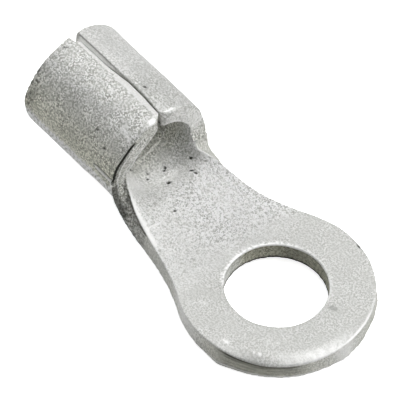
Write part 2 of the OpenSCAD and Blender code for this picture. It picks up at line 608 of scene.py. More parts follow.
def dent(s, t, place, size, depth, turn=0.0):
    """A hollow: depth times the bell curve of the distance over size, in a turned frame."""
    a, b = s - place[0], t - place[1]
    cos, sin = math.cos(math.radians(turn)), math.sin(math.radians(turn))
    u, v = (a * cos + b * sin) / size[0], (b * cos - a * sin) / size[1]
    return depth * np.exp(-(u * u + v * v))


def pitted(height, s, t, places):
    """The height less a dent at each place."""
    for place, size, depth, turn in places:
        height = height - dent(s, t, place, size, depth, turn)
    return height


print("usual height of a ripple of 1 mm:", round(float(ripple(*flat.T, 1.0, 1.0, 11).std()), 2), "mm")

# %% [markdown]
# The neck's upper side has a dozen small pits, and the ring a shallow dent. Inside the
# barrel the tool's mandrel ended in a step, with a low lip before it.

# %% The upper side's relief
# A ripple is a length, a height and a seed. A pit is its place s and t, its size along and
# across, its depth, and its turn in degrees.
TOP_RIPPLES = [(2.6, 0.010, 11), (0.9, 0.004, 12)]
PITS = [
    ((-10.50, 0.36), (0.13, 0.19), 0.12, 0),
    ((-10.72, 2.83), (0.12, 0.12), 0.08, 0),
    ((-11.61, 1.20), (0.10, 0.14), 0.08, 30),
    ((-11.50, 1.00), (0.12, 0.07), 0.05, 60),
    ((-12.05, -0.11), (0.09, 0.09), 0.06, 0),
    ((-11.68, -0.46), (0.09, 0.12), 0.05, 0),
    ((-12.87, -1.01), (0.12, 0.08), 0.06, 0),
    ((-10.11, 2.04), (0.07, 0.16), 0.06, -50),
    ((-9.80, 2.06), (0.15, 0.07), 0.06, 10),
    ((-8.43, -0.99), (0.10, 0.10), 0.07, 0),
    ((-10.63, 3.97), (0.08, 0.10), 0.07, 0),
    ((0.75, 5.93), (0.16, 0.07), 0.05, 0),
    ((3.45, 1.54), (0.30, 0.20), 0.015, 20)]
STEP_S = -13.17
STEP = 0.06
STEP_LENGTH = 0.08
STEP_LIP = 0.02


def top_relief(s, t):
    """Height added to the upper side: ripples less the pits, and the step inside the
    barrel where the tool's mandrel ended."""
    height = pitted(sum(ripple(s, t, *each) for each in TOP_RIPPLES), s, t, PITS)
    inside = ease((STEP_S - s) / STEP_LENGTH)
    return height - STEP * inside + STEP_LIP * bump(s, STEP_S + STEP_LENGTH / 2, STEP_LENGTH)


print(len(PITS), "pits and dents in the upper side, the deepest", max(pit[2] for pit in PITS), "mm")

# %% [markdown]
# Low on the barrel's left side a ridge runs back from the front edge, where two halves of
# the rolling tool met. A narrow groove lies beside it.

# %% The lower side's relief
UNDER_RIPPLES = [(3.2, 0.012, 21), (0.8, 0.004, 22)]
MARKS = [
    ((-13.55, 9.22), (0.10, 0.10), 0.05, 0),
    ((-19.05, -8.95), (0.06, 0.24), 0.03, 39),
    ((-12.50, -6.48), (0.12, 0.10), 0.05, 0),
    ((-13.61, -6.96), (0.14, 0.07), 0.04, 20)]
CREASE_T = -5.11
CREASE_START = -13.0
CREASE_FADE = 0.5
RIDGE = 0.08
RIDGE_HALF = 0.9
RIDGE_SLOPE = 0.10
GROOVE = 0.05
GROOVE_HALF = 0.10


def under_relief(s, t):
    """Height added to the lower side, which is the barrel's outside: ripples less the
    marks, and a step where two halves of the rolling tool met."""
    height = pitted(sum(ripple(s, t, *each) for each in UNDER_RIPPLES), s, t, MARKS)
    along = ease((s - CREASE_START) / CREASE_FADE) * (s < front_s + CREASE_FADE)
    step = RIDGE * ease((t - CREASE_T) / RIDGE_SLOPE + 0.5) * bump(t, CREASE_T, RIDGE_HALF)
    groove = -GROOVE * bump(t, CREASE_T - GROOVE_HALF, GROOVE_HALF)
    return height + along * (step + groove)


print("the ridge lies", round(float(angle_from_top(CREASE_T)), 1), "degrees from the top")

# %% [markdown]
# ## The cut faces
# A Solidify modifier would give the sheet a plain square wall. The real cut face has a
# profile, so the loop of points round the outline is stepped down from the top edge to the
# lower one, and each step has its own push outwards. Round the ring the rough band leans
# out towards the burr, and on the tip's left it hangs over a recess under the top edge.

# %% The cut face round the ring
# Levels go from 0 at the sheet's upper side to 1 at its lower one. A place round the ring
# is a centre and a half width in degrees, and its push in mm where it has one.
LEVELS = np.array([
    0, 0.05, 0.1, 0.16, 0.23, 0.31, 0.4, 0.48, 0.55, 0.62, 0.7, 0.78, 0.85, 0.9, 0.94, 0.97, 1])
FLARE = 0.06
FLARE_GAP = (-103, 32)
FLARE_PLACES = [
    (-33, 30, 0.05), (-165, 16, 0.07), (52, 12, 0.07), (2, 9, 0.06), (27, 13, -0.07), (-74, 11, 0.15)]
FLARE_POWER = 1.5
ROUGH_BAND = (0.35, 0.012, 31)
SHEAR_END = 0.4
SHEAR_FADE = 0.2
UNDERCUT = 0.08
UNDERCUT_PLACE = (-58, 34)
UNDERCUT_LEVEL = (0.15, 0.15)
BURR = 0.06
BURR_PLACE = (-66, 40)
BURR_START = 0.84
BURR_FADE = 0.12
FILL = 0.30
FILL_SIZE = 0.45
FILL_PLACE = (0.15, 0.10)
FILL_LOSS = 0.7


def corner_fill(s, t, level):
    """The right root is full, most of all on the inside, where the neck's metal was
    squeezed: a bell curve round a place beside the root."""
    away = (s - front_s - FILL_PLACE[0]) ** 2 + (t - root_t + FILL_PLACE[1]) ** 2
    return FILL * np.exp(-away / FILL_SIZE**2) * (1 - FILL_LOSS * level)


def ring_push(s, t, distance_round, level):
    """Round the ring and the neck: a flare that grows towards the burr, with a corner in it
    on the left, a recess right under the top edge, and roughness below the sheared band."""
    angle = ring_angle(s, t)
    flare = with_bumps(FLARE * (1 - bump(angle, *FLARE_GAP)), angle, FLARE_PLACES)
    push = flare * level**FLARE_POWER
    rough = ripple(distance_round + 0 * level, level * sheet_t * 1.5 + 0 * s, *ROUGH_BAND)
    push = push + rough * ease((level - SHEAR_END) / SHEAR_FADE)
    push = push - UNDERCUT * bump(angle, *UNDERCUT_PLACE) * bump(level, *UNDERCUT_LEVEL)
    push = push + BURR * bump(angle, *BURR_PLACE) * ease((level - BURR_START) / BURR_FADE)
    return push + corner_fill(s, t, level)


print(len(LEVELS), "levels, the sheared band ends at", round(SHEAR_END * sheet_t, 2), "mm below the top")

# %% [markdown]
# Round the barrel the seam's faces open towards the inside at the ring's end, and where
# the seam stands open a ledge lies low in the gap. Both flaps lean forwards at the front.
# The left one has a split lip at its outer edge, with a deep groove before it, and a fold
# half way up. The hole's wall is plainer, and only rough below its sheared band.

# %% The cut face round the barrel
# A span is a plateau over the angle from the top, in degrees: its start, rise, end and fall.
SEAM_OPEN = 0.30
SEAM_OPEN_LENGTH = 2.2
SEAM_POWER = 1.3
SEAM_LEDGE = 0.20
LEDGE_TOP = 0.98
LEDGE_FADE = 0.04
OUTER_LEAN = 0.2
OUTER_SPAN = (2, 12, 78, 28)
INNER_LEAN = 0.3
INNER_SPAN = (-2, 30, 95, 35)
LEAN_POWER = 1.2
LIP_GROOVE = 0.22
LIP_LEVEL = (0.93, 0.09)
LIP_SPAN = (34, 14, 100, 14)
FOLD = 0.05
FOLD_LEVEL = (0.55, 0.12)
FOLD_START = 15
RIGHT_LEAN = 0.2
RIGHT_LEAN_PLACE = (15, 16)
RIGHT_INNER_LEAN = 0.12
RIGHT_INNER_PLACE = (55, 35)


def flap_push(s, t, normal, level):
    """Round the barrel. The seam's faces are pushed by how squarely they face the seam, and
    the flaps' fronts by how squarely they face forwards. A lean goes from its inner to its
    outer value over the levels."""
    around = angle_from_top(t)
    facing_seam = normal[1] ** 2
    facing_front = np.clip(normal[0], 0, 1) ** 2
    push = -SEAM_OPEN * facing_seam * bump(s, front_s, SEAM_OPEN_LENGTH) * (1 - level) ** SEAM_POWER
    push = push + SEAM_LEDGE * (t > 0) * facing_seam * opened(s) * ease((LEDGE_TOP - level) / LEDGE_FADE)
    outer = OUTER_LEAN * plateau(around, *OUTER_SPAN)
    inner = INNER_LEAN * plateau(around, *INNER_SPAN)
    lip = bump(level, *LIP_LEVEL) * plateau(around, *LIP_SPAN)
    fold = FOLD * bump(level, *FOLD_LEVEL) * ease((around - FOLD_START) / FOLD_START)
    left = outer + (inner - outer) * (1 - level) ** LEAN_POWER - LIP_GROOVE * lip - fold
    right = RIGHT_LEAN * bump(around, *RIGHT_LEAN_PLACE) * level
    inside = RIGHT_INNER_LEAN * bump(around, *RIGHT_INNER_PLACE) + DRAWN_BACK * bump(around, *DRAWN_SIDE)
    right = right + inside * (1 - level)
    return push + facing_front * np.where(t < 0, left, right) + corner_fill(s, t, level)


def outline_push(s, t, distance_round, normal, level):
    """How far each level stands out, for every point of the outline."""
    return np.where(on_flaps(s, t), flap_push(s, t, normal, level), ring_push(s, t, distance_round, level))


print("the left flap leans forwards by", OUTER_LEAN, "mm outside and", INNER_LEAN, "mm inside")

# %% The hole's wall
HOLE_ROUGH = (0.5, 0.012, 41)
HOLE_SHEAR_END = 0.3
HOLE_WIDER = 0.015


def hole_push(distance_round, level):
    """Round the hole: a wall that is rough below its sheared band and widens a little
    towards the lower side, as a punched hole does."""
    rough = ripple(distance_round + 0 * level, level + 0 * distance_round, *HOLE_ROUGH)
    return rough * ease((level - HOLE_SHEAR_END) / SHEAR_FADE) - HOLE_WIDER * level


print("the hole is", 2 * HOLE_WIDER, "mm wider at its lower edge")

# %% [markdown]
# ## One closed mesh
# The upper side, the lower side and the two stacks of steps between them share their
# border points, so the sheet comes out as one closed surface. It replaces the CAD solid,
# whose edges are square, and keeps its size and place.

# %% The two sides and the walls between them
count = len(flat)
top = np.column_stack([flat, half_t - top_drop(*flat.T) + top_relief(*flat.T)])
under = np.column_stack([flat, -half_t + under_drop(*flat.T) - under_relief(*flat.T)])


def outward(s, t, inner):
    """Directions out of the sheet along a closed loop of points: the loop's own direction,
    from one neighbour to the other, turned by a quarter."""
    along = np.stack([np.roll(s, -1) - np.roll(s, 1), np.roll(t, -1) - np.roll(t, 1)])
    along = along / np.linalg.norm(along, axis=0)
    normal = np.stack([-along[1], along[0]])
    return -normal if inner else normal


def wall(loop, inner):
    """Points of the steps between the two sides along a loop. The first and last rows are
    the borders of the two sides, moved in place."""
    s, t = flat[loop].T
    distance_round = np.cumsum(np.hypot(s - np.roll(s, 1), t - np.roll(t, 1)))
    normal = outward(s, t, inner)
    level = LEVELS[:, None]
    push = hole_push(distance_round, level) if inner else outline_push(s, t, distance_round, normal, level)
    w = top[loop, 2] + (under[loop, 2] - top[loop, 2]) * level
    return np.stack([s + normal[0] * push, t + normal[1] * push, w], -1)


def stack(loop, grid, start):
    """Puts a wall's first and last rows into the two sides, and numbers the rows between."""
    top[loop] = grid[0]
    under[loop] = grid[-1]
    between = start + np.arange(grid[1:-1].size // 3).reshape(len(LEVELS) - 2, -1)
    return np.concatenate([loop[None, :], between, loop[None, :] + count])


rim_grid = wall(outline, inner=False)
hole_grid = wall(hole_edge, inner=True)
rim_id = stack(outline, rim_grid, 2 * count)
hole_id = stack(hole_edge, hole_grid, 2 * count + rim_grid[1:-1].size // 3)
blank = np.concatenate([top, under, rim_grid[1:-1].reshape(-1, 3), hole_grid[1:-1].reshape(-1, 3)])
faces = np.concatenate([
    sheet_quads, sheet_quads[:, ::-1] + count,
    quads(rim_id, closed=True)[:, ::-1], quads(hole_id, closed=True)])
print(len(blank), "points and", len(faces), "faces, about", 2 * len(faces), "triangles")

# %% [markdown]
# Blender takes points and faces as whole arrays, which is far quicker than adding them one
# by one. The faces are shaded smooth, because the edges have enough steps of their own, so
# no Subdivision Surface or Bevel is needed.

# %% Into Blender
def make_mesh(name, points, faces):
    """A mesh object from whole arrays of points in metres and four-sided faces."""
    mesh = bpy.data.meshes.new(name)
    mesh.vertices.add(len(points))
    mesh.vertices.foreach_set("co", points.astype(np.float32).ravel())
    mesh.loops.add(faces.size)
    mesh.loops.foreach_set("vertex_index", faces.astype(np.int32).ravel())
    mesh.polygons.add(len(faces))
    mesh.polygons.foreach_set("loop_start", np.arange(0, faces.size, 4, dtype=np.int32))
    mesh.polygons.foreach_set("use_smooth", np.ones(len(faces), bool))
    mesh.update(calc_edges=True)
    mesh.validate()
    piece = bpy.data.objects.new(name, mesh)
    bpy.context.scene.collection.objects.link(piece)
    return piece


terminal = make_mesh("ring_terminal_sheet", roll_up(*blank.T) * MM, faces)
print("rolled sheet in mm:", [round(side / MM, 2) for side in terminal.dimensions])

# %% [markdown]
# ## Grain, dirt, painted shade and painted highlights
# The plating isn't the same all over. The barrel is grainy and the stretched neck is
# wrinkled, and there is dirt in the pits. Shade is painted dark into gaps, grooves and
# under edges, highlights and light are painted bright on edges, crests and lit faces, and
# a warm tint is painted where the surface lies in shade. An image could hold that, but it
# would need a flat map of a closed sheet. Instead every point stores five numbers from 0
# to 1, for grain, wrinkles, painted shade with dirt, painted highlights with wear, and the
# tint painted in shade, which the material reads. A mark below is a strength times where
# it lies. Its places were read off the photograph, in millimetres on the blank, in degrees
# round the barrel or the ring, or in levels of a cut face.

# %% Spots and scratches
FULLY_DARK = 0.05


def hollows(s, t, places):
    """How far inside a pit each point is: 1 in its dark middle and 0 outside all of them."""
    deepest = np.zeros_like(s)
    for place, size, depth, turn in places:
        middle = ease((dent(s, t, place, size, 1.0, turn) - 0.25) / 0.3)
        deepest = np.maximum(deepest, middle * min(depth / FULLY_DARK, 1))
    return deepest


def scratches(s, t, lines):
    """1 on the line from each start to its end, and 0 at a half width from it."""
    shine = np.zeros_like(s)
    for (s0, t0), (s1, t1), half_width in lines:
        along = ((s - s0) * (s1 - s0) + (t - t0) * (t1 - t0)) / ((s1 - s0) ** 2 + (t1 - t0) ** 2)
        along = np.clip(along, 0, 1)
        away = np.hypot(s - s0 - along * (s1 - s0), t - t0 - along * (t1 - t0))
        shine = np.maximum(shine, bump(away, 0, half_width))
    return shine


def faint_scratches(s, t, number=18):
    """Short scratches on the ring's left half, at seeded places and headings."""
    draw = np.random.default_rng(81)
    radius, place = draw.uniform(3.7, 5.8, number), np.radians(draw.uniform(-175, -30, number))
    heading, length = draw.uniform(0, np.pi, number), draw.uniform(0.25, 0.6, number)
    x, y = radius * np.cos(place), radius * np.sin(place)
    ends = zip(x, y, x + length * np.cos(heading), y + length * np.sin(heading))
    return 0.6 * scratches(s, t, [((a, b), (c, d), 0.07) for a, b, c, d in ends])


dark_points = np.count_nonzero(hollows(flat[:, 0], flat[:, 1], PITS) > 0.5)
print("points in the dark middle of a pit:", dark_points)

# %% [markdown]
# On the upper side shade is painted behind the step in the barrel and faintly low on the
# tip, and the pits are darkened with painted shade and dirt. Highlights are painted on the
# step's lip, the hole's border, the neck's edges and the tip, and light on the neck, most
# where it leaves the barrel.

# %% Painted shade and pit dirt of the upper side
RIM_SIDE = 1.0
# Where shade is painted low on the tip's left.
LOW_TIP_SHADE = (-54, 16)


def top_shade_and_pits(s, t):
    """Painted shade behind the step, more of it on both sides, and low on the tip, and in the pits, with
    their dirt.
    """
    distance, _ = edge_distance(s, t)
    on_rim = np.hypot(s, t) - hole_r > RIM_SIDE
    # Painted shade in the barrel behind the step.
    behind_step = 0.20 + 0.30 * ease((-t - 0.3) / 1.0) + 0.2 * ease((t - 2.4) / 1.2)
    behind_step = behind_step * ease((STEP_S - s) / 0.05)
    # Painted shade low on the tip's left.
    low_tip = 0.16 * bump(ring_angle(s, t), *LOW_TIP_SHADE) * ease((0.9 - distance) / 0.5) * on_rim
    return np.maximum.reduce([behind_step, low_tip, hollows(s, t, PITS)])


# %% Painted highlights and scratches of the upper side
TOP_SCRATCHES = [
    ((-8.22, -3.41), (-8.17, -2.45), 0.10),
    ((-5.10, -1.76), (-4.59, -1.00), 0.10),
    ((-10.05, -0.42), (-9.70, -0.04), 0.08)]
BRIGHT_DOTS = [
    ((3.43, -4.23), (0.11, 0.11), 0.05, 0),
    ((3.15, -4.45), (0.07, 0.09), 0.05, 0),
    ((1.39, -5.19), (0.26, 0.12), 0.05, 20)]
# Places in degrees round the ring, or along s in mm: a centre and a half width.
# The tip's painted highlight, the rim's painted line, and the neck's painted edges and root.
TIP_HIGHLIGHT = (-13, 38)
RIM_LINE = (15, 40)
LEFT_NECK_EDGE = (-8.8, 2.9)
RIGHT_NECK_EDGE = (-10.2, 1.4)
NECK_ROOT = (-11.8, 2.4)
# Ripples: a length, a height and a seed.
RAGGED_BORDER = (0.3, 0.07, 51)
RAGGED_HOLE = (0.2, 0.06, 52)
UNEVEN_TIP = (0.5, 0.6, 74)


def neck_painted_light(s, t):
    """Painted light: a faint wash over the neck, stronger on its right, and a brighter one at its root."""
    wash = ease((s + 9.8 + 1.2 * ease(t - 0.8)) / 2.0) * ease((-2.4 - s) / 1.4)
    right = 0.3 * bump(t, 2.4, 2.4) * ease((-4.4 - s) / 2.0)
    wash = wash * (0.15 * ease((4.4 - t) / 1.5) + right)
    root = (0.42 + 0.35 * ease((-t - 0.5) / 1.5)) * bump(s, *NECK_ROOT) * ease((3.8 - t) / 2.0)
    return np.maximum(wash, root)


def top_highlights_and_scratches(s, t):
    """Painted highlights and painted light, with scratches and bright dots. The hole's
    border and the neck's edges have a ragged inner limit, and the ring's right rim has a thin
    painted highlight."""
    distance, _ = edge_distance(s, t)
    angle = ring_angle(s, t)
    full_turn = np.mod(angle, 360)
    from_hole = np.hypot(s, t) - hole_r
    on_rim = from_hole > RIM_SIDE
    # The border, lip, edges, tip and rim line below are painted highlights.
    ragged = 0.16 + ripple(s, t, *RAGGED_BORDER)
    border = ease((ragged + 0.04 + ripple(s, t, *RAGGED_HOLE) - from_hole) / 0.06)
    border = border * (0.4 + 0.6 * ease((full_turn - 90) / 50)) * (np.abs(full_turn - 130) < 100)
    lip = 0.25 * bump(s, STEP_S + 0.03, 0.06) * (t < 3.0)
    left_edge = ease((ragged + 0.20 - distance) / 0.10) * broad(s, *LEFT_NECK_EDGE) * (t < 0)
    right_edge = 0.8 * ease((ragged + 0.04 - distance) / 0.12) * bump(s, *RIGHT_NECK_EDGE) * (t > 0)
    tip = 0.75 * bump(angle, *TIP_HIGHLIGHT) * ease((0.95 - distance) / 0.6) * on_rim
    tip = tip * (0.6 + 0.4 * ease(0.5 + ripple(s, t, *UNEVEN_TIP)))
    rim_line = 0.9 * bump(angle, *RIM_LINE) * bump(distance, 0.06, 0.12) * on_rim
    return np.maximum.reduce(
        [border, lip, left_edge, right_edge, tip, rim_line, neck_painted_light(s, t),
         scratches(s, t, TOP_SCRATCHES), hollows(s, t, BRIGHT_DOTS), faint_scratches(s, t)])


# %% The upper side's masks
def paint_top(s, t):
    """Grain, painted shade with dirt, painted highlights with scratches, and the tint painted in
    shade, of the upper side. The ring is the smoothest, the neck a little grainier, and the
    barrel's inside is full of grain and has the tint painted in its shade."""
    grain = 0.4 + 0.2 * ease((-3.6 - s) / 3.0) + 0.4 * ease((-10.4 - s) / 1.5)
    shade_and_dirt = top_shade_and_pits(s, t)
    return grain, shade_and_dirt, top_highlights_and_scratches(s, t) * (1 - shade_and_dirt), 0.35 * ease((-11.4 - s) / 1.4)


top_masks = paint_top(*flat.T)
print("upper side, mean grain, grime, shine and tarnish:", [round(float(m.mean()), 2) for m in top_masks])

# %% [markdown]
# The lower side is the barrel's outside. Shade is painted beside the bevel and the crease,
# along the rear edge, round the hole and on the sharp edges where the seam stands open, and
# the left rear has a darker patch. The bevel is smooth and brighter, highlights are painted
# on the crest of the crease and on a crescent at the right flap's front, and light on the
# low side and the right rear.

# %% Parts of the lower side
def on_bevel(s, t):
    """1 on the left flap's bevel, and 0 past its border."""
    distance, seam = edge_distance(s, t)
    return (t < -root_t) * seam * ease((bevel_width(s) - distance) / 0.04)


def open_edges(s, t):
    """Painted shadow of the open gap: a dark line on both flaps' edges where the seam stands open, darker on
    the right.
    """
    distance, seam = edge_distance(s, t)
    strength = 0.8 * (t > root_t) + 0.5 * (t < -root_t)
    return strength * seam * ease((0.05 - distance) / 0.04) * opened(s)


def on_crease(s):
    """True along the crease and a little past the barrel's front."""
    return (s > CREASE_START) * (s < front_s + 0.4)


# %% Painted shade and dark marks of the lower side
REAR_LINE = [((-19.5, -4.62), (-18.3, -4.52), 0.20)]
# Places in degrees from the top, or along s in mm: a centre and a half width.
DARK_PATCH_SIDE = (79, 26)
DULL_SIDE = (76, 22)
DULL_LENGTH = (-15.3, 2.2)
SHADED_SIDE = (68, 36)
# Ripples: a length, a height and a seed.
DARK_PATCH_LIMIT = (0.8, 0.4, 72)
SHADED_LIMIT = (0.35, 0.2, 78)


def under_shade_and_marks(s, t):
    """Painted shade in thin lines beside the bevel, the crease and its heel, at the rear and
    round the hole, in the open seam, and in a band with a ragged front along the rear edge;
    and dark marks, a faint darker place, and a darker patch with a ragged front at the left rear."""
    distance, seam = edge_distance(s, t)
    around = angle_from_top(t)
    left = t < -root_t
    # Painted shade beside the bevel, beside the crease, below its heel and along the rear line.
    border = 0.3 * left * seam * bump(distance, bevel_width(s) + 0.02, 0.05)
    beside_crease = 0.8 * bump(t, CREASE_T - 0.09, 0.06) + 0.4 * bump(t, CREASE_T + 0.08, 0.06)
    beside_crease = on_crease(s) * beside_crease
    below_heel = 0.35 * bump(t, -4.6, 0.5) * bump(s, front_s - 0.35, 0.6)
    rear_line = 0.6 * scratches(s, t, REAR_LINE)
    dark_rear_patch = 0.32 * left * broad(around, *DARK_PATCH_SIDE)
    dark_rear_patch = dark_rear_patch * ease((rear_s + 1.4 + ripple(s, t, *DARK_PATCH_LIMIT) - s) / 1.6)
    dull = 0.1 * left * bump(around, *DULL_SIDE) * bump(s, *DULL_LENGTH)
    # Painted shade along the left rear edge.
    rear_shade = 0.75 * left * broad(around, *SHADED_SIDE)
    rear_shade = rear_shade * ease((rear_s + 0.35 + ripple(s, t, *SHADED_LIMIT) - s) / 0.35)
    # Painted shade round the hole's lower edge.
    hole_line = ease((hole_r + 0.05 - np.hypot(s, t)) / 0.04)
    return np.maximum.reduce(
        [hollows(s, t, MARKS), border, open_edges(s, t), beside_crease, below_heel, rear_line,
         dark_rear_patch, rear_shade, dull, hole_line])


# %% Painted highlights and scratches of the lower side
OUTER_SCRATCHES = [((-12.28, -8.00), (-11.29, -7.72), 0.13)]
CRESCENT = (11, 9)
BRIGHT_CORNER = (11, 6)
UNEVEN_BAND = (0.28, 0.9, 79)


def under_highlights_and_scratches(s, t):
    """Painted highlights on the crescent, the left flap's front corner, the crease and its heel,
    painted light on the right rear and on a band low on the left that ripples make uneven, a
    brighter bevel, and a scratch."""
    distance, _ = edge_distance(s, t)
    around = angle_from_top(t)
    # Painted highlights on the crescent, the corner, the crease's crest and the heel.
    crescent = broad(around, *CRESCENT) * bump(distance, 0.07, 0.06) * (t > root_t) * (s > front_s - 1)
    corner = (t < -root_t) * broad(around, *BRIGHT_CORNER, 1.6) * broad(s, front_s - 0.02, 0.26, 1.6)
    crease = bump(t, CREASE_T, 0.07) * ease((s - CREASE_START) / 0.4) * on_crease(s)
    heel = ease((0.12 - distance) / 0.06) * bump(t, -4.7, 0.6) * (s > front_s - 1)
    # Painted light on the barrel's low left side and on the right rear.
    low_band = ease(0.62 + ripple(s, t, *UNEVEN_BAND)) * (t < 0) * ease((around - 89) / 10)
    lit_rear_and_bright_bevel = 0.28 * (t > root_t) * ease((-13.2 - s) / 3) + 0.65 * on_bevel(s, t)
    return np.maximum.reduce(
        [crescent, corner, crease, heel, lit_rear_and_bright_bevel, low_band, scratches(s, t, OUTER_SCRATCHES)])


# %% The lower side's masks
def paint_under(s, t):
    """Grain, painted shade with dark marks, painted highlights with a scratch, and the tint
    painted in shade, of the lower side. Grain grows down the barrel's sides, and the left
    side has the tint painted in its shade."""
    around = angle_from_top(t)
    grain = 0.75 + 0.25 * ease((around - 40) / 40) - 0.2 * (t > 0)
    grain = grain * (1 - 0.3 * on_bevel(s, t))
    shine = under_highlights_and_scratches(s, t) * (1 - open_edges(s, t))
    return grain, under_shade_and_marks(s, t), shine, 0.7 * (t < -root_t) * ease((around - 30) / 60)


under_masks = paint_under(*flat.T)
print("lower side, mean grain, grime, shine and tarnish:", [round(float(m.mean()), 2) for m in under_masks])

# %% [markdown]
# The cut faces hold the most painted shade. It fills the groove of the left flap's front,
# the seam, the neck's left face, and the shade under the ring's top edge on the tip's left,
# where the face is darker and streaked. Highlights are painted on the burr, the folds and
# the edges.

# %% Parts of the cut face
def rim_parts(s, t):
    """True on the left flap's front, the right flap's front, the neck's left face and the
    seam's right face."""
    beyond_root = np.abs(t) - root_t
    front = (beyond_root > -0.2) & (s > front_s - 0.5) & (s < front_s + 0.3)
    left_neck = (t < 0) & (beyond_root < 0.01) & (s > front_s - 0.05) & (s < -8)
    seam_face = (t > 0) & (beyond_root > 0) & (angle_from_top(t) < 6)
    return (t < 0) & front, (t > 0) & front, left_neck, seam_face


# %% Painted shade of the flaps' cut faces
# The groove's span is a plateau over the angle from the top. The other levels are a centre
# and a half width, and a ripple is a length, a height and a seed.
GROOVE_SPAN = (34, 6, 97, 10)
GROOVE_LEVEL = 0.88
UNDER_FOLD_LEVEL = (0.76, 0.12)
FOLD_LINE_LEVEL = (0.70, 0.08)
LOW_LINE = (1.0, 0.05)
RAGGED_GROOVE = (0.4, 0.015, 61)
FRONT_BITS = (0.22, 0.5, 75)


def flap_shade_and_specks(s, t, level):
    """Painted shade in the left front's groove and under its fold, at the top corner of the
    right front, low on the seam's face, and on the right flap's rear, and dark specks in bits
    on the right front."""
    left_front, right_front, _, seam_face = rim_parts(s, t)
    around = angle_from_top(t)
    reach = 0.10 + ripple(s + t, level, *RAGGED_GROOVE)
    # All of these but the bits are painted shade.
    groove = left_front * ease((reach - np.abs(level - GROOVE_LEVEL)) / 0.04) * plateau(around, *GROOVE_SPAN)
    under_fold = 0.25 * left_front * bump(level, *UNDER_FOLD_LEVEL) * ease((around - 30) / 20)
    fold_line = 0.5 * left_front * bump(level, *FOLD_LINE_LEVEL) * ease((around - 45) / 15)
    bits = 0.35 * right_front * ease(2.0 * (ripple(t, level * sheet_t, *FRONT_BITS) - 0.3))
    corner = 0.25 * right_front * bump(around, 7, 8)
    seam_line = seam_face * bump(level, *LOW_LINE)
    rear_face = 0.7 * (t > 0) * (around < 12) * ease((rear_s + 0.7 - s) / 0.4)
    return np.maximum.reduce([groove, under_fold, fold_line, bits, corner, seam_line, rear_face])


# %% Painted shade and specks of the neck's left face
# A speck is its place, s and level, and its size along s and level.
RIM_SPECKS = [
    ((-11.00, 0.20), (0.10, 0.10)),
    ((-10.40, 0.24), (0.12, 0.12)),
    ((-10.15, 0.50), (0.10, 0.08)),
    ((-9.60, 0.45), (0.08, 0.08))]
NECK_PATCH = (-10.6, 1.3)
NECK_SPECKS = (0.20, 0.5, 77)


def neck_shade_and_specks(s, t, level):
    """On the neck's left face, painted shade: a film, a line under the top edge, a patch low
    down, and a line along the burr, with dark specks in the film."""
    left_neck = rim_parts(s, t)[2]
    # Painted shade on the neck's left face, but for the specks.
    low = 0.75 * ease((level - 0.5) / 0.2) * broad(s, *NECK_PATCH)
    burr_line = 0.8 * bump(level, 1.0, 0.10)
    top_line = 0.8 * bump(level, 0.12, 0.12)
    specks = [dent(s, level, place, size, 1.0) for place, size in RIM_SPECKS]
    fine_specks = ease(2.0 * (ripple(s, level * sheet_t, *NECK_SPECKS) - 0.35))
    film = 0.10 + 0.12 * ease(s + 10) + 0.4 * fine_specks
    return left_neck * np.maximum.reduce([low, burr_line, top_line, film, *specks])


# %% Painted shade and dark streaks of the ring's cut face
# Places in degrees round the ring or in levels: a centre and a half width.
EDGE_SHADE = (-50, 36)
DEEPEST_SHADE = (-66, 20)
BURR_SHADE = (-48, 46)
DARK_BAND = (-50, 37)
UNDER_EDGE_LEVEL = (0.12, 0.17)
STREAKS = (0.22, 0.4, 71)
STREAK_STRETCH = 0.2


def ring_shade_and_streaks(s, t, level):
    """Round the ring: painted shade under the top edge and along the burr, and a darker band
    that fades downwards, in streaks drawn out along the cut."""
    angle = ring_angle(s, t)
    # Painted shade under the top edge and along the burr.
    under_edge = 0.75 * broad(angle, *EDGE_SHADE, 2.2) + 0.25 * bump(angle, *DEEPEST_SHADE)
    under_edge = under_edge * broad(level, *UNDER_EDGE_LEVEL, 1.6)
    burr_line = 0.6 * broad(angle, *BURR_SHADE) * bump(level, 0.99, 0.05)
    along = np.where(s > JOIN_S, ring_r * np.radians(angle), s + t)
    streaks = np.clip(0.5 + ripple(STREAK_STRETCH * along, level * sheet_t, *STREAKS), 0, 1)
    dark_band = broad(angle, *DARK_BAND) * (0.42 - 0.36 * level + 0.25 * streaks) + 0.06 * streaks
    return np.maximum.reduce([under_edge, burr_line, dark_band])


# %% Painted highlights of the cut face
FOLD_CREST = (0.55, 0.07)
UPPER_BAND = (0.23, 0.10)
BURR_CREST = (0.91, 0.06)
BURR_SHINE = (-48, 48)
RING_SHINE = [(-108, 28, 0.5), (3, 15, 0.6)]
FLECKS = (0.22, 0.5, 76)


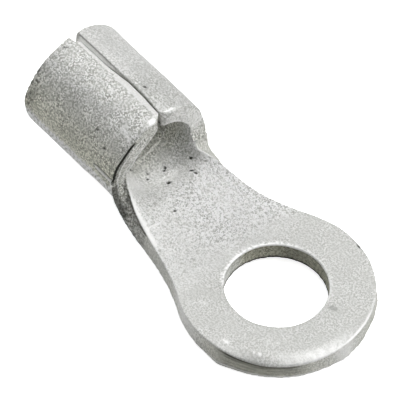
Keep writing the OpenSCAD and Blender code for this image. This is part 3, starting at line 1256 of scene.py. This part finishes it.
def rim_highlights(s, t, level):
    """Painted highlights and painted light on the left front's fold and edges, the right front
    with its flecks and inner edge, the open seam's face above its dark line, the burr, and two
    places on the ring."""
    left_front, right_front, _, seam_face = rim_parts(s, t)
    around = angle_from_top(t)
    angle = ring_angle(s, t)
    fold = 0.7 * left_front * bump(level, *FOLD_CREST) * ease((around - 20) / 8)
    upper = 0.5 * left_front * bump(level, *UPPER_BAND) * ease((around - 15) / 20)
    inner_line = left_front * ease((0.12 - level) / 0.06) * bump(around, 60, 40)
    # Painted light on the right flap's front face.
    worn_back_and_lit_front = right_front * ease((96 - around) / 20)
    flecks = worn_back_and_lit_front * ease(3.0 * (ripple(t, level * sheet_t, *FLECKS) - 0.2))
    inner_edge = worn_back_and_lit_front * ease((0.16 - level) / 0.08) * bump(around, 26, 22)
    open_face = seam_face * opened(s) * ease((LEDGE_TOP - level) / 0.03) * ease((s - rear_s - 0.15) / 0.4)
    burr = broad(angle, *BURR_SHINE) * bump(level, *BURR_CREST)
    on_ring = with_bumps(0, angle, RING_SHINE) * (s > JOIN_S)
    shine = np.maximum.reduce(
        [fold, upper, inner_line, burr, 0.4 * worn_back_and_lit_front, flecks, inner_edge, open_face, on_ring])
    return shine * (1 - seam_face * bump(level, *LOW_LINE))


# %% The cut face's masks
SMOOTH_TIP = (-52, 40)
# Where the warm tint is painted in the shade on the tip's left.
SHADE_TINT_TIP = (-52, 50)


def paint_rim(s, t, level):
    """Grain, painted shade with dark marks, painted highlights, and the tint painted in shade, of
    the cut face round the outline. The flaps' fronts and the neck's left face are the
    grainiest, and the tip's left is smooth and has the tint painted in its shade."""
    left_front, right_front, left_neck, _ = rim_parts(s, t)
    angle = ring_angle(s, t)
    shade_and_dirt = np.maximum.reduce([flap_shade_and_specks(s, t, level), neck_shade_and_specks(s, t, level), ring_shade_and_streaks(s, t, level)])
    on_ring = s > JOIN_S
    grain = 0.5 + 0.5 * (left_front | right_front | left_neck) - 0.3 * bump(angle, *SMOOTH_TIP) * on_ring
    return grain, shade_and_dirt, rim_highlights(s, t, level), 0.2 + 0.5 * bump(angle, *SHADE_TINT_TIP) * on_ring


def between_levels(loop):
    """Places and levels of the points between a wall's first row and its last."""
    rows = LEVELS[1:-1]
    return *np.tile(flat[loop], (len(rows), 1)).T, np.repeat(rows, len(loop))


rim_masks = paint_rim(*between_levels(outline))
print("cut face, mean grain, grime, shine and tarnish:", [round(float(m.mean()), 2) for m in rim_masks])

# %% [markdown]
# The hole's wall has painted shade along its lower edge and raggedly under its upper one.
# Its right side has painted shade all over, most of all towards the barrel.

# %% Painted shade and light of the hole's wall
# Places in degrees round the hole, from 0 to 360, or in levels: a centre and a half width.
FAR_END = 187
SHADED_WALL = (118, 28)
# Where the far wall has the most painted shade.
BRIGHT_WALL = (207, 18)
LOW_EDGE_LEVEL = (0.98, 0.16)
TOP_EDGE_LEVEL = (0.06, 0.10)
RAGGED_TOP = (0.25, 0.6, 73)


def paint_hole(s, t, level):
    """Grain, painted shade, a painted highlight and the tint painted in shade, of the hole's
    wall. The far side, up to the angle FAR_END, is the one that faces the camera."""
    angle = ring_angle(s, t) % 360
    far = ease((FAR_END - angle) / 12)
    # Painted shade on the far side, most of all towards the barrel, and along both edges.
    wall_shade = 0.33 * far + 0.18 * bump(angle, *SHADED_WALL) - 0.06 * ease((80 - angle) / 20)
    low_edge = broad(level, *LOW_EDGE_LEVEL, 1.6)
    ragged = ease(0.5 + ripple(s, t + level, *RAGGED_TOP))
    top_edge = (0.4 + 0.5 * far) * bump(level, *TOP_EDGE_LEVEL) * ragged
    # Painted highlight on the left part of the wall.
    shine = 0.4 * bump(angle, *BRIGHT_WALL) * bump(level, 0.5, 0.4)
    return 0.8 + 0 * level, np.maximum.reduce([wall_shade, low_edge, top_edge]), shine, 0.2 + 0.8 * far


hole_masks = paint_hole(*between_levels(hole_edge))
print("hole's wall, mean grain, grime, shine and tarnish:", [round(float(m.mean()), 2) for m in hole_masks])

# %% [markdown]
# The wrinkles are on the neck's upper side alone, where the metal was stretched, and they
# are weaker on its left. With them all five masks are stored on the mesh. The piece then
# takes the place of the CAD solid and rides on the same body.

# %% Storing the masks
WRINKLED_SPAN = (-11.2, 2.2, -2.4, 3.0)
WEAK_SIDE_END = -2.5
WEAK_SIDE_FADE = 3.0
# The third mask is painted shade with dirt, the fourth painted highlights with wear, and the fifth a warm
# tint painted in shade.
grain, shade_and_dirt, shine, shade_tint = [
    np.concatenate(parts) for parts in zip(top_masks, under_masks, rim_masks, hole_masks)]
wrinkled = np.zeros(len(blank))
right_most = 0.5 + 0.5 * ease((flat[:, 1] - WEAK_SIDE_END) / WEAK_SIDE_FADE)
wrinkled[:count] = plateau(flat[:, 0], *WRINKLED_SPAN) * right_most
masks = {"grainy": grain, "wrinkled": wrinkled, "painted_shade_and_dirt": shade_and_dirt, "painted_highlight_and_wear": shine, "painted_shade_tint": shade_tint}
for name, values in masks.items():
    store = terminal.data.attributes.new(name, "FLOAT", "POINT")
    store.data.foreach_set("value", values.astype(np.float32))
    print(name, "is", round(float(values.mean()), 2), "on average")

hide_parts("ring_terminal")
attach(terminal, "root")

# %% [markdown]
# ## Tin plating
# The finish is matte tin, electroplated on copper. Its surface is a crust of fine crystals
# with pores between them, so the eye sees a pale, silky grey with no clear mirror image.
# It could be a pure metal with a high roughness, but light also scatters in the pores as
# it does in a powder, so the metal here is half metallic and rough. Grain, slow
# cloudiness and wrinkles are noise, and the stored masks say where each of them, the
# warm tint painted in shade, the painted shade with dirt and the painted highlights with
# wear show.

# %% Colours and nodes
def linear(text):
    """An sRGB hex colour as linear red, green, blue and alpha."""
    values = [int(text[i:i + 2], 16) / 255 for i in (1, 3, 5)]
    return tuple(v / 12.92 if v <= 0.04045 else ((v + 0.055) / 1.055) ** 2.4 for v in values) + (1,)


def add(tree, kind, values=None, links=None, **settings):
    """Adds one node with its settings, its input values and the links into it."""
    new = tree.nodes.new(kind)
    for key, value in settings.items():
        setattr(new, key, value)
    for key, value in (values or {}).items():
        new.inputs[key].default_value = value
    for key, source in (links or {}).items():
        tree.links.new(source, new.inputs[key])
    return new


def new_material(name):
    """An empty material and its node tree."""
    material = bpy.data.materials.new(name)
    material.use_nodes = True
    material.node_tree.nodes.clear()
    return material, material.node_tree


print("mid grey is", round(linear("#808080")[0], 3), "in linear light")

# %% Colours and patterns of the plating
TIN_LIGHT = "#DCDCDA"
TIN_DARK = "#C8C9C5"
SPECK_LIGHT = "#FAFAF9"
SPECK_DARK = "#999A92"
# Painted highlights on the wrinkles' ridges, and painted shade in their furrows.
RIDGE_HIGHLIGHT = "#FEFEFE"
FURROW_SHADE = "#85867F"
# A warm tint multiplied in where the surface lies in shade, which turns the shade olive.
SHADE_TINT = "#FFFEEC"
# Dark olive for painted shade, and for the dirt in pits and marks.
SHADE_AND_DIRT = "#2F2F27"
# Near white for painted highlights and painted light, and for bright scratches.
HIGHLIGHT_AND_WEAR = "#FBFBFA"
METALLIC = 0.5

# A pattern is the size of its features in mm and its noise. Real tin crystals are a few
# thousandths of a millimetre across, too fine to show, so the grain is drawn as coarse as
# it needs to show. Wrinkles and clouds have the size that they have in the photograph.
GRAIN = (0.125, {"Detail": 2.0, "Roughness": 0.7})
CLOUD = (0.9, {"Detail": 4.0, "Roughness": 0.6})
WRINKLE = (0.15, {"Detail": 2.0, "Roughness": 0.55, "Distortion": 1.2})
GRAIN_HEIGHT = 0.08
WRINKLE_HEIGHT = 0.11

# Each range takes a noise from between its first two numbers to between its last two.
CLOUD_TO_GRAIN = (0.4, 0.6, 0.6, 1.15)
GRAIN_TO_SPECK = (0.43, 0.57, 0.0, 1.0)
WRINKLE_TO_FURROW = (0.36, 0.48, 0.5, 0.0)
WRINKLE_TO_RIDGE = (0.46, 0.52, 0.0, 1.0)
GRAIN_TO_ROUGHNESS = (0.3, 0.7, 0.5, 0.66)

# Sockets of a Mix node that mixes colours, by number, because several share a name.
SHARE, BASE, OVER, MIXED = 0, 6, 7, 2
print("grain drawn", GRAIN[0], "mm across, wrinkles", WRINKLE[0], "mm, clouds", CLOUD[0], "mm")


# %% Matte tin
def matte_tin():
    """Pale grey clouds under light and dark crystal specks, then one layer of colour on the
    other: painted shade in the furrows, painted highlights on the ridges, a warm tint painted
    in shade, painted shade with dirt, and painted highlights with wear. Grain and wrinkles
    are bumps too, and the grain also varies the roughness, which keeps the sheen silky."""
    material, tree = new_material("matte_tin_plating")
    place = add(tree, "ShaderNodeTexCoord").outputs["Object"]
    grainy, wrinkled, painted_shade_and_dirt, painted_highlight_and_wear, painted_shade_tint = [
        add(tree, "ShaderNodeAttribute", attribute_name=name).outputs["Fac"] for name in masks]
    grain, cloud, wrinkle = [
        add(tree, "ShaderNodeTexNoise", dict(noise, Scale=1 / (size * MM)), {"Vector": place}).outputs["Fac"]
        for size, noise in (GRAIN, CLOUD, WRINKLE)]
    ranges = ["From Min", "From Max", "To Min", "To Max"]
    patch, sparkle, furrow, ridge, roughness = [
        add(tree, "ShaderNodeMapRange", dict(zip(ranges, limits)), {"Value": source}).outputs["Result"]
        for source, limits in (
            (cloud, CLOUD_TO_GRAIN), (grain, GRAIN_TO_SPECK), (wrinkle, WRINKLE_TO_FURROW),
            (wrinkle, WRINKLE_TO_RIDGE), (grain, GRAIN_TO_ROUGHNESS))]
    # The wrinkles get painted shade in their furrows and painted highlights on their ridges.
    grainy, furrow_shade, ridge_highlight = [
        add(tree, "ShaderNodeMath", links={0: pattern, 1: mask}, operation="MULTIPLY").outputs[0]
        for pattern, mask in ((patch, grainy), (furrow, wrinkled), (ridge, wrinkled))]
    plated, specks = [
        add(tree, "ShaderNodeMix", {BASE: linear(dark), OVER: linear(light)}, {SHARE: share},
            data_type="RGBA").outputs[MIXED]
        for dark, light, share in ((TIN_DARK, TIN_LIGHT, cloud), (SPECK_DARK, SPECK_LIGHT, sparkle))]
    colour = add(tree, "ShaderNodeMix", links={SHARE: grainy, BASE: plated, OVER: specks},
                 data_type="RGBA").outputs[MIXED]
    # Layers: painted shade in furrows, painted highlights on ridges, the tint painted in shade, painted
    # shade with dirt, painted highlights with wear.
    for tint, share, way in (
            (FURROW_SHADE, furrow_shade, "MIX"), (RIDGE_HIGHLIGHT, ridge_highlight, "MIX"),
            (SHADE_TINT, painted_shade_tint, "MULTIPLY"), (SHADE_AND_DIRT, painted_shade_and_dirt, "MIX"), (HIGHLIGHT_AND_WEAR, painted_highlight_and_wear, "MIX")):
        colour = add(tree, "ShaderNodeMix", {OVER: linear(tint)}, {SHARE: share, BASE: colour},
                     data_type="RGBA", blend_type=way).outputs[MIXED]
    fine = add(tree, "ShaderNodeBump", {"Distance": GRAIN_HEIGHT * MM},
               {"Height": grain, "Strength": grainy}).outputs["Normal"]
    crumpled = add(tree, "ShaderNodeBump", {"Distance": WRINKLE_HEIGHT * MM},
                   {"Height": wrinkle, "Strength": wrinkled, "Normal": fine}).outputs["Normal"]
    metal = add(tree, "ShaderNodeBsdfPrincipled", {"Metallic": METALLIC},
                {"Base Color": colour, "Roughness": roughness, "Normal": crumpled}).outputs["BSDF"]
    add(tree, "ShaderNodeOutputMaterial", links={"Surface": metal})
    print(material.name, "has", len(tree.nodes), "nodes")
    return material


terminal.data.materials.append(matte_tin())

# %% [markdown]
# ## Floor
# The terminal lies on a white table. It rests on the barrel's front underside and on the
# tip of the ring, so the table touches it there, at a slope of about two degrees to the
# part's own level. A level table would leave a gap under the ring, and its shadow would
# lie wrong. The camera sees the table as white, and only the shadow shows on it.

# %% White floor
# The lift is light of its own that the table shows to the camera alone. It lifts the pale
# paint to white there, keeps the shadow, and adds nothing to the part.
FLOOR_WHITE = "#E8E8E8"
FLOOR_LIFT = 0.86
FLOOR_HALF = 1500.0
FLOOR_GAP = 0.05


def white_floor():
    """A large square whose slope runs through the barrel's floor and the ring's tip."""
    low_z = axis_z - outer_r
    slope = -low_z / (ring_r - front_s)
    print("the table slopes by", round(math.degrees(math.atan(slope)), 2), "degrees")
    corners = FLOOR_HALF * np.array([(-1, -1), (1, -1), (1, 1), (-1, 1)])
    height = low_z + slope * (corners[:, 0] - front_s) - FLOOR_GAP
    floor = make_mesh("floor", np.column_stack([corners, height]) * MM, np.array([[0, 1, 2, 3]]))
    material, tree = new_material("white_table")
    seen = add(tree, "ShaderNodeLightPath").outputs["Is Camera Ray"]
    matt = add(tree, "ShaderNodeBsdfDiffuse", {"Color": linear(FLOOR_WHITE)}).outputs["BSDF"]
    lift = add(tree, "ShaderNodeMath", {1: FLOOR_LIFT}, {0: seen}, operation="MULTIPLY").outputs[0]
    glow = add(tree, "ShaderNodeEmission", links={"Strength": lift}).outputs["Emission"]
    both = add(tree, "ShaderNodeAddShader", links={0: matt, 1: glow}).outputs["Shader"]
    add(tree, "ShaderNodeOutputMaterial", links={"Surface": both})
    floor.data.materials.append(material)
    return floor


white_floor()

# %% [markdown]
# ## Light
# The photograph has soft light from nearly all round. A bright world alone would make the
# metal look flat, so the room is dim and six large soft boxes give the light. The
# strongest two stand behind the part on the right and off the barrel's rear end. Each lamp
# is given by where it stands, its size and how bright its face looks, and its power
# follows from those.

# %% Lamps
# Each is its azimuth and elevation in degrees, its distance and its side in mm, and its
# brightness.
LAMPS = [
    ("right_rear", 145, 42, 260, 160, 5.0),
    ("overhead_right", 120, 66, 260, 160, 1.8),
    ("overhead", 0, 90, 260, 160, 1.2),
    ("overhead_left", -120, 65, 260, 160, 1.8),
    ("rear", -90, 16, 260, 140, 6.0),
    ("left", -60, 16, 260, 120, 0.8)]


def direction(azimuth, elevation):
    """From the part towards a place that is seen at those angles, azimuth 0 being in front."""
    a, e = math.radians(azimuth), math.radians(elevation)
    return Vector((math.sin(a) * math.cos(e), -math.cos(a) * math.cos(e), math.sin(e)))


def lamp(name, azimuth, elevation, distance, size, brightness):
    """A square soft box. Its power is its brightness times its area times pi."""
    light = bpy.data.lights.new(name, "AREA")
    light.shape = "SQUARE"
    light.size = size * MM
    light.energy = brightness * math.pi * (size * MM) ** 2
    box = bpy.data.objects.new(name, light)
    bpy.context.scene.collection.objects.link(box)
    centre = (cad_low + cad_high) / 2
    towards = direction(azimuth, elevation)
    box.location = centre + towards * distance * MM
    box.rotation_mode = "QUATERNION"
    box.rotation_quaternion = towards.to_track_quat("Z", "Y")
    box.visible_camera = False
    print(name, "gives", round(light.energy, 3), "watts")


for each in LAMPS:
    lamp(*each)

# %% [markdown]
# The room behind the lamps is dim where it lights the part, and white where the camera
# looks past the table.

# %% Room
ROOM = 0.05
BACKDROP = 1.0
world = bpy.data.worlds.new("dim_room")
bpy.context.scene.world = world
world.use_nodes = True
world.node_tree.nodes.clear()
seen = add(world.node_tree, "ShaderNodeLightPath").outputs["Is Camera Ray"]
strength = add(world.node_tree, "ShaderNodeMix", {2: ROOM, 3: BACKDROP}, {0: seen}).outputs[0]
room = add(world.node_tree, "ShaderNodeBackground", links={"Strength": strength}).outputs["Background"]
add(world.node_tree, "ShaderNodeOutputWorld", links={"Surface": room})
print("the room is", ROOM, "bright, and", BACKDROP, "to the camera")

# %% [markdown]
# ## Camera
# The photograph was taken from far away with a long lens, from the ring's end and above. A
# near camera would spread the ring out, so this one stands far off too. It stands at the
# photograph's angles and aims at the point that is in the middle of the picture.

# %% Camera
AZIMUTH = 47.37
ELEVATION = 50.17
ROLL = 3.31
AIM = Vector((-6.553, -0.660, 3.648))
DISTANCE = 581.4
LENS = 864
SENSOR = 36
NEAREST = 0.01
FARTHEST = 10

back = direction(AZIMUTH, ELEVATION)
level = Vector((math.cos(math.radians(AZIMUTH)), math.sin(math.radians(AZIMUTH)), 0))
upright = back.cross(level)
turn = math.radians(ROLL)
right = level * math.cos(turn) + upright * math.sin(turn)
up = upright * math.cos(turn) - level * math.sin(turn)
camera_data = bpy.data.cameras.new("camera")
camera_data.sensor_width = SENSOR
camera_data.lens = LENS
camera_data.clip_start = NEAREST
camera_data.clip_end = FARTHEST
camera = bpy.data.objects.new("camera", camera_data)
bpy.context.scene.collection.objects.link(camera)
turned = Matrix((right, up, back)).transposed().to_4x4()
camera.matrix_world = Matrix.Translation((AIM + back * DISTANCE) * MM) @ turned
bpy.context.scene.camera = camera
bpy.context.scene.view_settings.view_transform = "Standard"
print("the picture is", round(DISTANCE * SENSOR / LENS, 1), "mm wide at the part")
